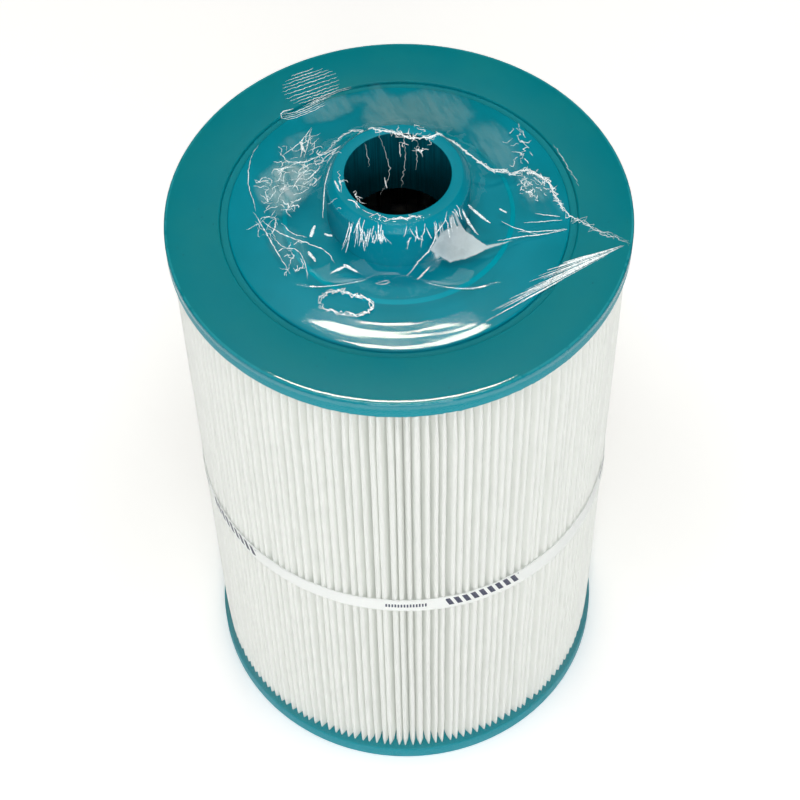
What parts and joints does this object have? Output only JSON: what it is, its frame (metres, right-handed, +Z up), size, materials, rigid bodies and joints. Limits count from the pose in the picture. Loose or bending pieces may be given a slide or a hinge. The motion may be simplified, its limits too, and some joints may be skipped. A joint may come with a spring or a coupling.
{
  "type": "filter cartridge",
  "caption": "Pleated cylindrical filter cartridge with cast end caps, a raised collar with a bore at the top, a band around the pleats and clear shrink film.",
  "frame": {"origin": "centre of the resting face of the bottom end cap", "axes": "+Z up along the cartridge's axis towards the collar; +X to the right and -Y towards the viewer, the band's joined ends lying at the back"},
  "size_m": [0.2152, 0.2152, 0.3735],
  "materials": {
    "cast_cap": "satin cast polyurethane, teal",
    "moulded_adapter": "satin moulding, teal",
    "core_plastic": "plain moulded, black",
    "filter_cloth": "spun-bonded polyester, white",
    "seam_strip": "welded strip, white",
    "band_cloth": "smooth non-woven strap, cream white",
    "clear_film": "clear glossy shrink film"
  },
  "bodies": {
    "root": {"bottom_end_cap": "cast_cap", "bottom_plug": "moulded_adapter", "core_lower": "core_plastic", "core_upper": "core_plastic", "pleated_media": "filter_cloth", "media_seam_strip": "seam_strip", "pleat_band": "band_cloth", "top_end_cap": "cast_cap", "adapter_flange": "moulded_adapter", "collar": "moulded_adapter", "shrink_film": "clear_film"}
  },
  "joints": []
}
